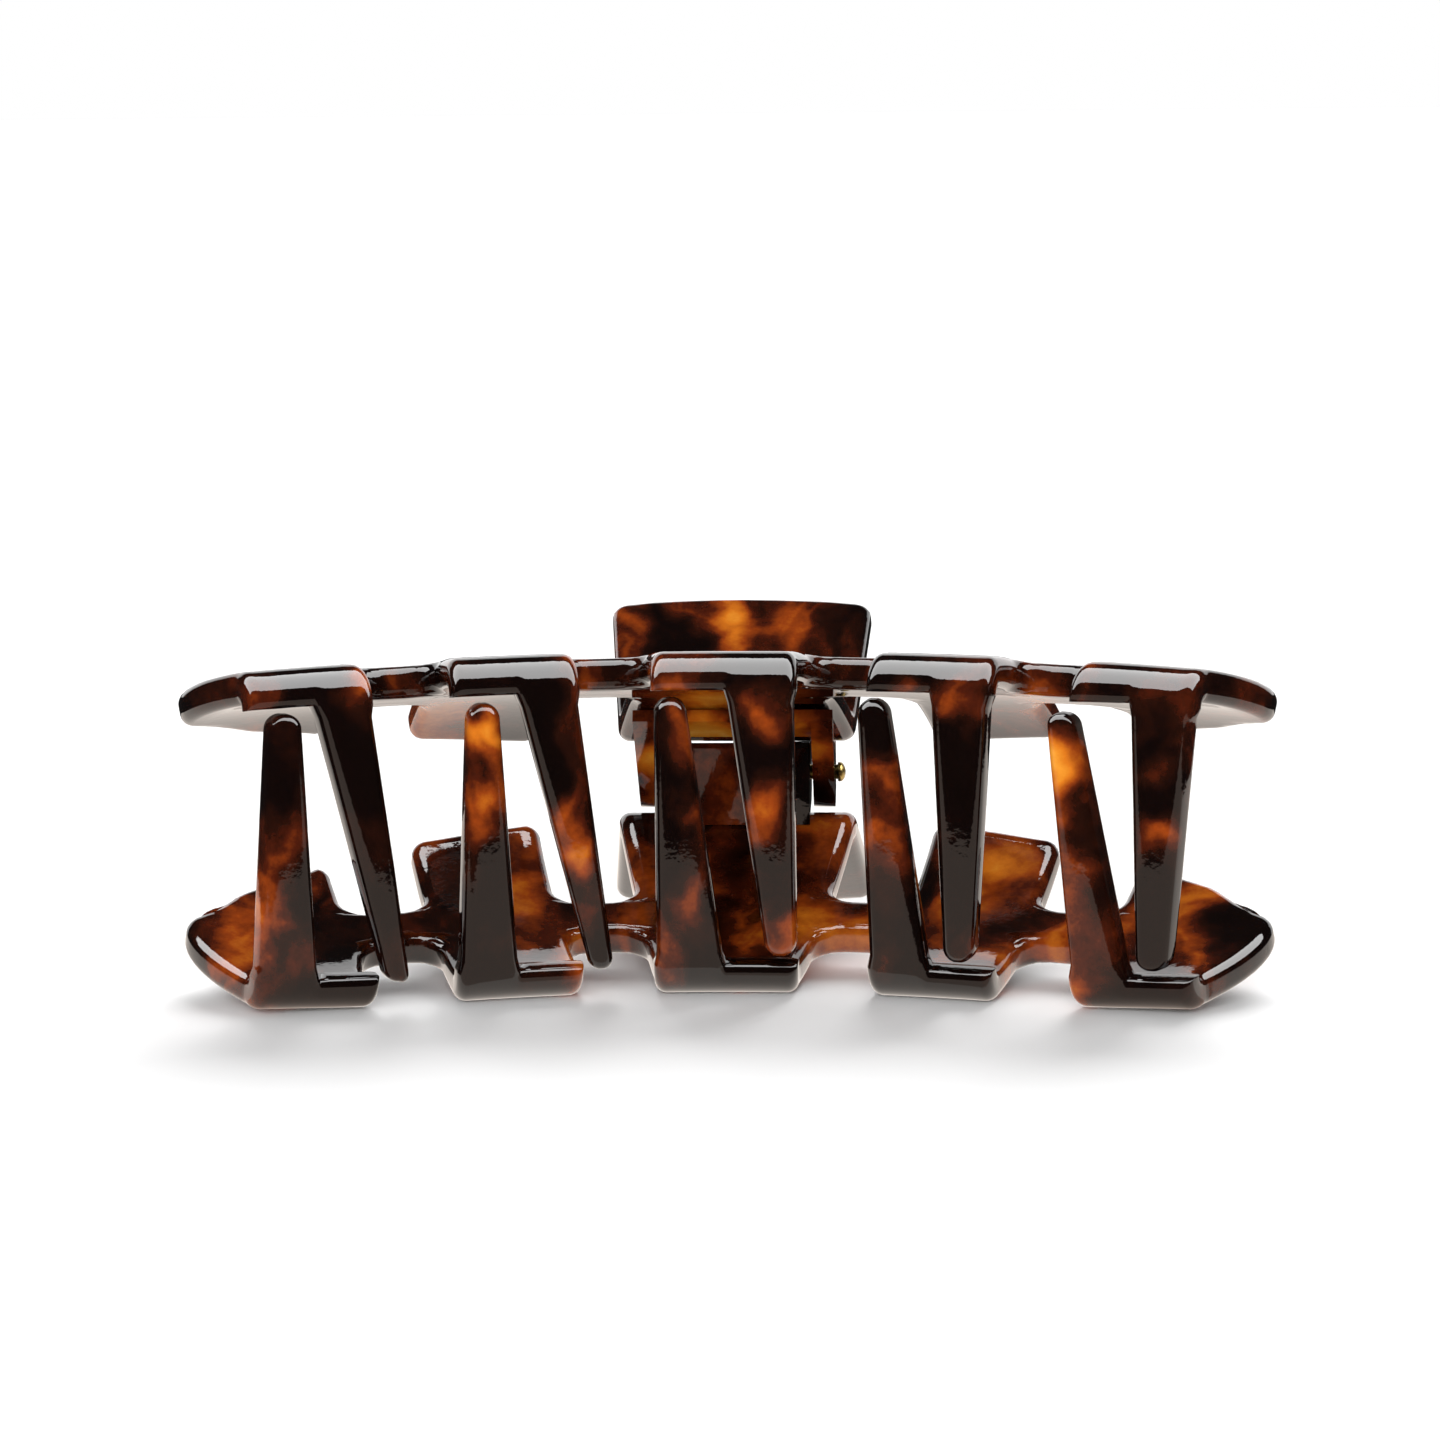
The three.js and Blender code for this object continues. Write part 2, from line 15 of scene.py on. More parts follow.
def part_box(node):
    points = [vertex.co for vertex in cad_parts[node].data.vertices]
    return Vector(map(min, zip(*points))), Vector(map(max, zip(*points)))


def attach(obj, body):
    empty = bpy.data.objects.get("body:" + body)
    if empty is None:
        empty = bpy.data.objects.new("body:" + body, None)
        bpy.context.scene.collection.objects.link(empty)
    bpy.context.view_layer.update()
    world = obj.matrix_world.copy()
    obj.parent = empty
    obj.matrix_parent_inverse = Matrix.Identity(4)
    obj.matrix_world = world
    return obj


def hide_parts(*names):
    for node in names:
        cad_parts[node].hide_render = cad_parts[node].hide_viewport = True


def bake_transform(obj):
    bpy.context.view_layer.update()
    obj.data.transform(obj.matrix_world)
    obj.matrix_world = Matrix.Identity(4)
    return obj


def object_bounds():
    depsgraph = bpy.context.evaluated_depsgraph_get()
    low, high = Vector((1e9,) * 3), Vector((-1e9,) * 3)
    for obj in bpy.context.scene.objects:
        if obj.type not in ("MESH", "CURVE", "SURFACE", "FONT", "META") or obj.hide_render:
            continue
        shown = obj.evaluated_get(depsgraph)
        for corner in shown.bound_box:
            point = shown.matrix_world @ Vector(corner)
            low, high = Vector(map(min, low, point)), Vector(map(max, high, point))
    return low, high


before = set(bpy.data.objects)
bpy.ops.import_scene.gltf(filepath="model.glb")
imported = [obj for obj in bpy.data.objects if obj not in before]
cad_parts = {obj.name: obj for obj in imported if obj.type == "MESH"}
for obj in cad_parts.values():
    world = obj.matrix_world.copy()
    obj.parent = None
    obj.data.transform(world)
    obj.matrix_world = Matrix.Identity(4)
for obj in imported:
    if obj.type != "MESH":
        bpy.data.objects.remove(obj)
CAD_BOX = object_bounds()
MM = 0.001

pin_low, pin_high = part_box("hinge_pin")
pin_axis = (pin_low + pin_high) / 2 / MM
print("clip size in mm:", [round(s / MM, 1) for s in CAD_BOX[1] - CAD_BOX[0]])

# %% [markdown]
# ## The camera
# The clip is seen from the front and a little above, through a long lens, so that the
# five blades keep their true widths. The camera could be placed by hand, but a target
# with an angle, a height and a distance says the same thing in numbers that can be
# reasoned about. A slight roll is turned in last.

# %% Camera
AIM = np.array([-1.7, pin_axis[1] - 3.0, 22.5]) * MM
AZIMUTH, ELEVATION, ROLL = np.radians([2.69, 8.86, -0.58])
DISTANCE = 459.6 * MM
FILM_WIDTH, FOCAL_LENGTH = 36, 112.5      # mm

back = np.array([
    np.sin(AZIMUTH) * np.cos(ELEVATION),
    -np.cos(AZIMUTH) * np.cos(ELEVATION),
    np.sin(ELEVATION),
])
right = np.cross([0, 0, 1], back)
right /= np.linalg.norm(right)
above = np.cross(back, right)
rolled_right = np.cos(ROLL) * right + np.sin(ROLL) * above
rolled_above = np.cos(ROLL) * above - np.sin(ROLL) * right

lens = bpy.data.cameras.new("studio_camera")
lens.sensor_width = FILM_WIDTH
lens.lens = FOCAL_LENGTH
camera = bpy.data.objects.new("studio_camera", lens)
bpy.context.scene.collection.objects.link(camera)
turn = Matrix(np.column_stack([rolled_right, rolled_above, back]).tolist())
camera.matrix_world = Matrix.Translation(Vector(AIM + back * DISTANCE)) @ turn.to_4x4()
bpy.context.scene.camera = camera
bpy.context.scene.view_settings.view_transform = "Standard"
print("camera at", [round(c, 3) for c in camera.location])

# %% [markdown]
# ## Node materials
# Every finish here is a small node tree. One helper adds a node with its settings and
# joins its inputs, so a tree reads as a list of steps. Colours are given as the hex
# values that a designer would pick on a screen, and one function turns them to the
# linear numbers that Blender computes with. The last helper gives a mesh its material
# and its place in the scene.

# %% Helpers for materials and objects
def linear(hexcode):
    """An sRGB hex colour as linear RGBA, opaque, by the standard sRGB curve."""
    srgb = np.array([int(hexcode[i:i + 2], 16) for i in (1, 3, 5)]) / 255
    low, high = srgb / 12.92, ((srgb + 0.055) / 1.055) ** 2.4
    return (*np.where(srgb <= 0.04045, low, high).tolist(), 1.0)


def add(tree, kind, inputs=None, **settings):
    """Adds a node. An input that is a socket is linked, and any other sets the value."""
    made = tree.nodes.new(kind)
    for name, value in settings.items():
        setattr(made, name, value)
    for name, value in (inputs or {}).items():
        if isinstance(value, bpy.types.NodeSocket):
            tree.links.new(value, made.inputs[name])
        else:
            made.inputs[name].default_value = value
    return made


def empty_tree(owner):
    """Turns on the nodes of a material or a world, and clears them."""
    owner.use_nodes = True
    owner.node_tree.nodes.clear()
    return owner.node_tree


def blank_material(name):
    """A new material with an empty tree, its shader and its output."""
    material = bpy.data.materials.new(name)
    tree = empty_tree(material)
    shader = add(tree, "ShaderNodeBsdfPrincipled")
    add(tree, "ShaderNodeOutputMaterial", {"Surface": shader.outputs["BSDF"]})
    return material, tree, shader


def set_ramp(ramp, stops):
    """Fills a colour ramp with (place, hex colour) stops."""
    elements = ramp.color_ramp.elements
    while len(elements) < len(stops):
        elements.new(1.0)
    for element, (place, colour) in zip(elements, stops):
        element.position = place
        element.color = linear(colour)


def add_object(name, mesh, look):
    """Puts a mesh into the scene as one object at the origin, with one material."""
    mesh.materials.clear()
    mesh.materials.append(look)
    made = bpy.data.objects.new(name, mesh)
    bpy.context.scene.collection.objects.link(made)
    return made


# %% [markdown]
# ## Floor, light and reflections
# The set is a pale floor in a white room. A broad light behind the clip throws its
# shadow softly towards the viewer, and a weaker one in front fills the blades. Both are
# sun lamps with a wide angle, because a sun lights the floor evenly to the horizon,
# which an area lamp cannot. Polished acetate is nearly black, though, so what the eye
# reads is what it mirrors. Gloss therefore gets its own surroundings: flat glowing cards
# that only reflections can see. They stand for a table that is bright near the clip and
# dark beyond, for a light box low over the clip's front, and for the white backdrop.

# %% Floor, lights and reflection cards
def flat_card(name, corner, far_corner, look):
    """A rectangle between two corners in millimetres, level or standing up along X."""
    (x0, y0, z0), (x1, y1, z1) = corner, far_corner
    mesh = bpy.data.meshes.new(name)
    places = [(x0, y0, z0), (x1, y0, z0), (x1, y1, z1), (x0, y1, z1)]
    mesh.from_pydata((np.array(places) * MM).tolist(), [], [(0, 1, 2, 3)])
    card = add_object(name, mesh, look)
    return card


def glow(name, colour, strength):
    """A plain glowing surface, for a reflection card."""
    material = bpy.data.materials.new(name)
    tree = empty_tree(material)
    light = add(tree, "ShaderNodeEmission", {"Color": linear(colour), "Strength": strength})
    add(tree, "ShaderNodeOutputMaterial", {"Surface": light.outputs["Emission"]})
    return material


# Matt white paper: nearly all diffuse, with no sheen of its own.
paper, _, paper_shader = blank_material("matt_white_paper")
paper_shader.inputs["Base Color"].default_value = linear("#f4f4f4")
paper_shader.inputs["Roughness"].default_value = 0.9
paper_shader.inputs["Specular IOR Level"].default_value = 0.0
floor = flat_card("floor", (-4000, -4000, 0), (4000, 4000, 0), paper)
floor.visible_glossy = False

FRONT, BACK = CAD_BOX[0][1] / MM, CAD_BOX[1][1] / MM
# Each card's name, its two corners, its colour and how brightly it glows.
CARDS = [
    ("far_studio", (-3000, -3000, 0.02), (3000, 3000, 0.02), "#ffffff", 0.02),
    ("near_table", (-120, FRONT - 67, 0.05), (120, FRONT + 5, 0.05), "#ffe9da", 0.8),
    ("back_table", (-120, FRONT + 5, 0.05), (120, BACK + 50, 0.05), "#fff4ea", 1.3),
    ("light_box", (-300, FRONT - 66, 150), (300, FRONT + 76, 150), "#ffffff", 8.5),
    ("backdrop", (-1500, 1500, 1), (1500, 1500, 950), "#ffffff", 1.5),
]
for name, corner, far_corner, colour, strength in CARDS:
    card = flat_card(f"{name}_reflection", corner, far_corner, glow(name, colour, strength))
    card.visible_camera = False
    card.visible_diffuse = False
    card.visible_shadow = False
    card.visible_transmission = False


def broad_sun(name, elevation, bearing, width, strength):
    """A sun lamp: elevation, bearing from the front and apparent width, in degrees."""
    lamp = bpy.data.lights.new(name, "SUN")
    lamp.angle = np.radians(width)
    lamp.energy = strength
    light = bpy.data.objects.new(name, lamp)
    light.rotation_euler = (np.radians(90 - elevation), 0, np.radians(bearing))
    light.visible_glossy = False
    bpy.context.scene.collection.objects.link(light)


broad_sun("back_light", 42, 172, 44, 3.6)
broad_sun("front_fill", 18, -12, 50, 2.6)

room = bpy.data.worlds.new("white_room")
room_tree = empty_tree(room)
seen = add(room_tree, "ShaderNodeLightPath")
mirrored = add(room_tree, "ShaderNodeMix", {
    "Factor": seen.outputs["Is Glossy Ray"],
    "A": linear("#aeaeae"),
    "B": linear("#262626"),
}, data_type="RGBA")
behind = add(room_tree, "ShaderNodeMix", {
    "Factor": seen.outputs["Is Camera Ray"],
    "A": mirrored.outputs["Result"],
    "B": linear("#ffffff"),
}, data_type="RGBA")
add(room_tree, "ShaderNodeOutputWorld", {
    "Surface": add(room_tree, "ShaderNodeBackground", {
        "Color": behind.outputs["Result"],
        "Strength": 1.0,
    }).outputs["Background"],
})
bpy.context.scene.world = room
print("stage set:", len(CARDS), "reflection cards")

# %% [markdown]
# ## Tortoiseshell acetate
# The sheet is made by pressing blocks of dark and amber acetate together, so its pattern
# runs through it: near-black ground with flames that go through brown and orange to
# amber. It is tumbled to a high gloss, which leaves a very slight ripple. One noise field
# gives the ground, its own warp makes the patches lick like flames, and a list of places
# says where this clip's larger flames lie, as no two clips are cut alike.

# %% Tortoiseshell
FLAME_SIZE = 11.0      # mm between one patch and the next
MOTTLE_SIZE = 1.0      # mm, the fine speckle inside brown patches
RIPPLE_SIZE = 0.7      # mm, the orange peel that tumbling leaves
WARP_SIZE = 9.0        # mm, how wide the licks of a flame are, and how far they reach
SHEET_DEPTH = 0.4      # flames are long through the sheet: depth counts this much
MOTTLE_STRENGTH = 0.12
DARKENING = 0.075      # sets how much of the sheet stays near black
ACETATE_STOPS = [
    (0.00, "#060302"), (0.42, "#0d0504"), (0.50, "#210c06"), (0.57, "#47190a"),
    (0.66, "#8c3b10"), (0.78, "#c96f1b"), (0.90, "#e09530"), (1.00, "#efb95c"),
]


def tortoiseshell(name, flames, seed):
    """Polished acetate sheet: colour by heat = warped noise + a soft ball per flame."""
    material, tree, shader = blank_material(name)
    where = add(tree, "ShaderNodeTexCoord").outputs["Object"]
    warp = add(tree, "ShaderNodeTexNoise", {
        "Vector": where, "Scale": 1 / (WARP_SIZE * MM), "Detail": 2.0, "Roughness": 0.55,
    })
    bend = add(tree, "ShaderNodeVectorMath", {
        0: warp.outputs["Color"], 1: (0.5, 0.5, 0.5),
    }, operation="SUBTRACT")
    shift = add(tree, "ShaderNodeVectorMath", {
        0: bend.outputs["Vector"], "Scale": WARP_SIZE * MM,
    }, operation="SCALE")
    bent = add(tree, "ShaderNodeVectorMath", {0: where, 1: shift.outputs["Vector"]})
    streaked = add(tree, "ShaderNodeMapping", {
        "Vector": bent.outputs["Vector"],
        "Location": (seed, seed / 2, 0),
        "Rotation": (0.3, 0.5, 0.2),
        "Scale": (1.0, 0.7, 0.65),
    })
    ground = add(tree, "ShaderNodeTexNoise", {
        "Vector": streaked.outputs["Vector"],
        "Scale": 1 / (FLAME_SIZE * MM),
        "Detail": 3.0,
        "Roughness": 0.5,
        "Distortion": 0.6,
    })
    mottle = add(tree, "ShaderNodeTexNoise", {
        "Vector": where, "Scale": 1 / (MOTTLE_SIZE * MM), "Detail": 3.0, "Roughness": 0.7,
    })
    field = add(tree, "ShaderNodeMath", {
        0: mottle.outputs["Fac"], 1: MOTTLE_STRENGTH, 2: ground.outputs["Fac"],
    }, operation="MULTIPLY_ADD")
    heat = add(tree, "ShaderNodeMath", {
        0: field.outputs[0], 1: DARKENING,
    }, operation="SUBTRACT")
    flat = add(tree, "ShaderNodeVectorMath", {
        0: bent.outputs["Vector"], 1: (1, SHEET_DEPTH, 1),
    }, operation="MULTIPLY")
    for x, y, z, reach, strength in flames:
        away = add(tree, "ShaderNodeVectorMath", {
            0: flat.outputs["Vector"], 1: (x * MM, y * SHEET_DEPTH * MM, z * MM),
        }, operation="DISTANCE")
        ball = add(tree, "ShaderNodeMapRange", {
            "Value": away.outputs["Value"],
            "From Min": 0.0,
            "From Max": reach * MM,
            "To Min": strength,
            "To Max": 0.0,
        }, interpolation_type="SMOOTHSTEP")
        heat = add(tree, "ShaderNodeMath", {0: heat.outputs[0], 1: ball.outputs["Result"]})
    colour = add(tree, "ShaderNodeValToRGB", {"Fac": heat.outputs[0]})
    set_ramp(colour, ACETATE_STOPS)
    ripple = add(tree, "ShaderNodeTexNoise", {
        "Vector": where, "Scale": 1 / (RIPPLE_SIZE * MM), "Detail": 2.0,
    })
    peel = add(tree, "ShaderNodeBump", {
        "Height": ripple.outputs["Fac"], "Strength": 0.3, "Distance": 0.03 * MM,
    })
    tree.links.new(colour.outputs["Color"], shader.inputs["Base Color"])
    tree.links.new(peel.outputs["Normal"], shader.inputs["Normal"])
    shader.inputs["Roughness"].default_value = 0.035
    shader.inputs["IOR"].default_value = 1.5
    shader.inputs["Subsurface Weight"].default_value = 0.12
    shader.inputs["Subsurface Radius"].default_value = (1.0, 0.35, 0.12)
    shader.inputs["Subsurface Scale"].default_value = 1.2 * MM
    return material


# Flames as x, y, z, reach in millimetres, then strength. Negative keeps a place dark.
UPPER_FLAMES = [
    (-14.0, -22, 15.0, 4.2, 0.3), (-16.8, -22, 18.5, 3.6, 0.16), (-20, -22, 27, 8, -0.3),
    (-40, -28, 22, 11, -0.28), (-33, -27, 25, 8, -0.2), (-45, -24, 27, 5, 0.1),
    (4.0, -19, 27.5, 4.5, 0.26), (4.4, -19, 18, 4.2, 0.3), (-4.5, -19, 28.5, 3.5, 0.22),
    (4.6, -19, 10.5, 3.6, -0.12), (4, -19, 3.5, 2.4, 0.2), (17, -22, 28.9, 4, 0.26),
    (21.5, -22, 28.8, 3.2, 0.2), (22.5, -22, 20, 5, -0.08), (22, -22, 12, 6, -0.2),
    (41.2, -28, 17.6, 3.6, 0.26), (40.4, -28, 23, 3, 0.14), (35, -28, 29, 3, 0.14),
    (39, -28, 8, 4, -0.1), (-1.8, 24, 30, 3.6, 0.26), (-2.5, 16, 27, 4, 0.2),
    (5.5, 23, 30.5, 4, 0.12), (-9, 23, 30, 4, -0.1), (-11.5, 23, 32, 3, 0.2),
    (11, 20, 28, 4, 0.1), (0, 2, 24, 9, 0.22), (-7, 4, 22, 5, 0.2), (8, 4, 22, 5, 0.2),
    (-28, -2, 24, 9, 0.16), (28, -2, 24, 9, 0.16), (-15, -12, 29, 5, 0.16),
    (14, -10, 29, 5, 0.16), (-31, -14, 29, 5, 0.14), (31, -14, 29, 5, 0.14),
]
LOWER_FLAMES = [
    (-23.3, -22, 27, 4.6, 0.36), (-22.6, -22, 20.5, 5, 0.28), (-23, -22, 6, 4, 0.06),
    (-41, -28, 13, 4, 0.06), (-39.7, -28, 5, 3.5, 0.12), (-43, -28, 23, 8, -0.16),
    (-3.6, -19, 11, 4, 0.14), (-3.2, -19, 24.5, 4, 0.1), (-4.5, -19, 19, 3.6, 0.12),
    (14.8, -22, 15, 3.5, 0.1), (16, -22, 3, 3.5, 0.12), (14.5, -22, 25, 7, -0.14),
    (33.4, -28, 24.5, 4, 0.44), (32, -28, 20, 3.8, 0.3), (33.2, -28, 4, 3.5, 0.1),
    (35, -28, 12, 5, -0.12), (-29, -2, 9, 5, 0.2), (-22, -6, 7, 5, 0.2),
    (24, -4, 8, 6, 0.22), (29, 2, 9, 5, 0.16), (9, -2, 6, 6, 0.2), (-9, -2, 6, 5, 0.1),
    (46, -16, 5, 6, 0.22), (-47, -16, 5, 6, 0.12), (0, 24, 4, 7, 0.16),
    (-15, -12, 4, 6, 0.2), (-31, -14, 4, 5, 0.18), (14, -12, 4, 6, 0.2), (32, -14, 4, 6, 0.2),
]
upper_acetate = tortoiseshell("polished_tortoiseshell_upper", UPPER_FLAMES, 0.31)
lower_acetate = tortoiseshell("polished_tortoiseshell_lower", LOWER_FLAMES, 0.74)
print("acetate patterns with", len(UPPER_FLAMES), "and", len(LOWER_FLAMES), "flames")

# %% [markdown]
# ## The wall of a claw
# Each claw is cut from flat sheet and bent in a hot mould: it curves over as a fan
# round a far centre, folds down into the teeth at the front, and its middle blade folds
# up again into the handle. Modelling that by hand would never come out even. Here the
# sheet is followed as a path of arcs and straights, and carried round the fan, so any
# point is found from just an angle in the fan and a distance along the wall.

# %% The bent wall as a formula
SHEET = 3.2                        # mm, as every length here
FAN_RADIUS = 106.5                 # from the centre of the fan to the waist line
WAIST_GAP = 7.5                    # between the claws where they are nearest
WAIST_BEND = 2.2                   # radius of the fold between blade and handle
WAIST_SLOPE = np.radians(35)       # rise of the wall in front of the waist
CROWN_RADIUS = 52.9                # radius of the domed wall
FRONT_SLOPE = np.radians(6)        # rise left where the wall folds down
FRONT_BEND = 2.2                   # radius of that fold
FACE_TURN = 0.9                    # share of the fold that a blade's front face keeps
HANDLE_SLOPE = np.radians(30)
HANDLE_LENGTH = 19.1
SPINE_REAR, SPINE_FRONT = 13.5, 19.6
FLAT_TO = 9.0                      # the middle blade is flat across from here back
SET_BACK_FROM, SET_BACK_RATE = 23.7, 0.38     # degrees, then mm for each degree past it
PIN_BEHIND_WAIST = 3.0

WAIST_ARC = WAIST_BEND * WAIST_SLOPE
CROWN_ARC = CROWN_RADIUS * (WAIST_SLOPE - FRONT_SLOPE)
HANDLE_ARC = WAIST_BEND * HANDLE_SLOPE
WAIST = np.array([0.0, pin_axis[1] - PIN_BEHIND_WAIST, pin_axis[2]])


def step(at, run, bend):
    """Moves (forward, up, heading) on by a run: an arc, or a straight if bend is 0."""
    forward, up, heading = at
    turned = heading + bend * run
    if bend == 0:
        return forward + run * np.cos(heading), up + run * np.sin(heading), turned
    ahead = (np.sin(turned) - np.sin(heading)) / bend
    rise = (np.cos(heading) - np.cos(turned)) / bend
    return forward + ahead, up + rise, turned


def set_back(angle):
    """How far the fold stands back: a fixed rate for each degree past a limit."""
    return SET_BACK_RATE * np.maximum(0, np.abs(angle) - SET_BACK_FROM)


def fold_start(angle):
    """Distance along the wall at which it starts to fold down into the teeth."""
    return WAIST_ARC + CROWN_ARC - set_back(angle)


def fold_length(angle):
    """Fold radius times the turn that leaves the teeth upright."""
    return FRONT_BEND * (FRONT_SLOPE + set_back(angle) / CROWN_RADIUS + np.pi / 2)


def along_wall(distance, angle, is_middle):
    """The mid wall at a distance from the waist: waist arc, crown arc, fold, straight."""
    zero = np.zeros(np.broadcast(distance, angle).shape)
    start = (zero, zero + (WAIST_GAP + SHEET) / 2, zero)
    waist = np.clip(distance, 0, WAIST_ARC) if is_middle else zero + WAIST_ARC
    at = step(start, waist, 1 / WAIST_BEND)
    at = step(at, np.minimum(distance - waist, 0) * (not is_middle), 0)
    fold = fold_start(angle)
    at = step(at, np.clip(distance, WAIST_ARC, fold) - WAIST_ARC, -1 / CROWN_RADIUS)
    turned = np.clip(distance - fold, 0, fold_length(angle))
    at = step(at, turned, -1 / FRONT_BEND)
    at = step(at, np.maximum(distance - fold, 0) - turned, 0)
    if is_middle:
        bent = np.clip(-distance, 0, HANDLE_ARC)
        tab = step(step(start, bent, 1 / WAIST_BEND), np.maximum(-distance, 0) - bent, 0)
        tab = (-tab[0], tab[1], -tab[2])
        at = tuple(np.where(distance < 0, t, a) for t, a in zip(tab, at))
    return at


def wall_point(angle, distance, offset, is_middle):
    """Carries the wall round the fan: x = r sin a, y = -forward - r (1 - cos a)."""
    forward, up, heading = along_wall(distance, angle, is_middle)
    forward = forward - offset * np.sin(heading)
    up = up + offset * np.cos(heading)
    radius = FAN_RADIUS - forward
    eased = np.clip((distance - FLAT_TO) / (SPINE_REAR - FLAT_TO), 0, 1)
    curve = eased * eased * (3 - 2 * eased) if is_middle else 1.0
    turned = np.radians(angle)
    sag = curve * radius * (1 - np.cos(turned))
    return np.stack([radius * np.sin(turned), -forward - sag, up], -1)


print("wall length from waist to fold, mm:", round(float(fold_start(0.0)), 1))

# %% [markdown]
# ## The flat pattern
# Seen flat, a claw is five blades on one spine, each blade with a tooth on its right
# half. A blade is a ladder: rungs from its back end to its front, each with the same
# number of points. Rungs and points crowd together near every cut edge, because the
# tumbled edge is rounded there and needs them. Each tooth is a second ladder that starts
# on half of the blade's last rung, and the spine between two blades is a third.

# %% Blades, teeth and spine as ladders
# Half widths and places are given for a blade's inner side, then for its outer side.
BLADES = [
    dict(angle=0, spread=5.2, waisted=0.4,
         front=(7, 7), spine=(9.6, 9.6), back=(12.1, 12.1), end=(0, 0)),
    dict(angle=14.7, spread=4.6, waisted=0.4,
         front=(6.2, 6.2), spine=(6.5, 6.5), back=(6.7, 6.7), end=(0.4, 2)),
    dict(angle=28.9, spread=4.4, waisted=0.2, bulge=2,
         front=(5.6, 6), spine=(8.5,), back=(9.6, 6), end=(5, 10.5)),
]
# For each tooth: how far it leans right, how much longer it is, and its tip's width.
UPPER_TEETH = [(3.1, 1.9, 2.5), (3.1, 1.1, 2.5), (0.2, 0, 3.2), (-1.5, 0, 3.2), (-2.1, 0, 3)]
LOWER_TEETH = [(2.5, 0, 2.8), (1.2, 0, 3.1), (0, 0, 3.2), (-1.2, 0, 3.2), (-1.7, 0, 3)]
TOOTH_LENGTH = 25.8                # from the end of a blade's front face to the tip
TOOTH_ROOT = 0.2                   # how far a tooth starts from its blade's axis
TOOTH_STEP = 0.3                   # how far its outer edge stands in from the blade's
FILLET = 2.6                       # inside corners between blades and spine
BULGE_POWER = 0.6                  # below 1, so a bulge is fullest towards the back
BLADE_CORNER = 1.6
HANDLE_HALF_WIDTH = 13.8           # at the tip of the tab
HANDLE_CORNER = 2.4
HANDLE_ARCH = 0.8                  # rise of the tab's end between its corners
EDGE_ROUND = 1.15                  # radius of every tumbled edge

# Where rungs and points crowd together: near edges, corners, fillets and tooth tips.
CROWDED = EDGE_ROUND * np.array([0, 0.03, 0.13, 0.3, 0.52, 0.76, 1.02])
CROWD_LIMIT = 0.42                 # share of a narrow rung that one crowd may fill
SPINE_POINTS = 9                   # along the spine between two blades
HANDLE_END = np.array([0.03, 0.12, 0.3, 0.55, 0.85, 1.2, 1.7, HANDLE_CORNER])
BLADE_END = BLADE_CORNER * np.array([0.02, 0.08, 0.2, 0.36, 0.55, 0.77, 1.0])
TO_SPINE = [0.25, 0.5, 0.7, 0.84, 0.94, 1]
FROM_SPINE = [0.06, 0.16, 0.3, 0.5, 0.75, 1]
TOOTH_END = np.array([0.8, 0.6, 0.42, 0.27, 0.15, 0.07, 0.02])


def quarter_round(t):
    """How far a unit quarter circle stands in from its tangent at height t."""
    return 1 - np.sqrt(np.clip(1 - (1 - t) ** 2, 0, 1))


def half_width(blade, side, distance):
    """Half a blade's width: straight tapers, or one bulge, plus a fillet at the spine."""
    if distance < 0:
        out = np.clip(-distance / (HANDLE_ARC + HANDLE_LENGTH), 0, 1)
        return blade["back"][side] + (HANDLE_HALF_WIDTH - blade["back"][side]) * out
    fold = fold_start(blade["angle"] + blade["spread"] * side)
    if side >= len(blade["spine"]):
        t = np.clip((distance - blade["end"][side]) / (fold - blade["end"][side]), 0, 1)
        taper = blade["back"][side] * (1 - t) + blade["front"][side] * t
        return taper + blade["bulge"] * np.sin(np.pi * t ** BULGE_POWER)
    spine, front = blade["spine"][side], blade["front"][side]
    waist = spine + (front - spine) * blade["waisted"]
    width = np.interp(distance, [blade["end"][side], SPINE_REAR, SPINE_FRONT, fold],
                      [blade["back"][side], spine, waist, front])
    gap = max(SPINE_REAR - distance, distance - SPINE_FRONT, 0)
    return width + FILLET * quarter_round(min(gap / FILLET, 1))


def crowd(start, stop, rounded_start, rounded_stop, count):
    """Places from start to stop, arrays allowed, crowded where an end is rounded."""
    start, stop = np.asarray(start, float), np.asarray(stop, float)
    fit = np.minimum(1, CROWD_LIMIT * (stop - start) / CROWDED[-1])[..., None]
    head = start[..., None] + fit * CROWDED if rounded_start else start[..., None]
    tail = stop[..., None] - fit * CROWDED[::-1] if rounded_stop else stop[..., None]
    share = np.linspace(0, 1, count + 1)[1:-1]
    middle = head[..., -1:] + (tail[..., :1] - head[..., -1:]) * share
    return np.concatenate([head, middle, tail], -1)


def fan_angle(centre, distance, aside, is_middle):
    """Turns millimetres to the side of a blade's axis into an angle in the fan."""
    radius = FAN_RADIUS - along_wall(distance, np.full_like(distance, centre), is_middle)[0]
    return centre + np.degrees(np.arcsin(aside / radius))


def stretch(start, stop, count):
    """Rungs evenly between two lines across a blade, without the first of them."""
    return [start + (stop - start) * t for t in np.linspace(0, 1, count + 1)[1:]]


def across(width_left, width_right):
    """Places across a rung: crowded at both edges and at the axis, on its right."""
    outer = crowd(-width_left, 0.0, True, False, 5)
    inner = crowd(0.0, width_right, True, True, 4)
    return np.concatenate([outer, inner[1:]])


def face_end(blade, share):
    """Where a blade's front face ends: most of the way round the fold at that angle."""
    angle = blade["angle"] + share * blade["spread"]
    return fold_start(angle) + FACE_TURN * fold_length(angle)


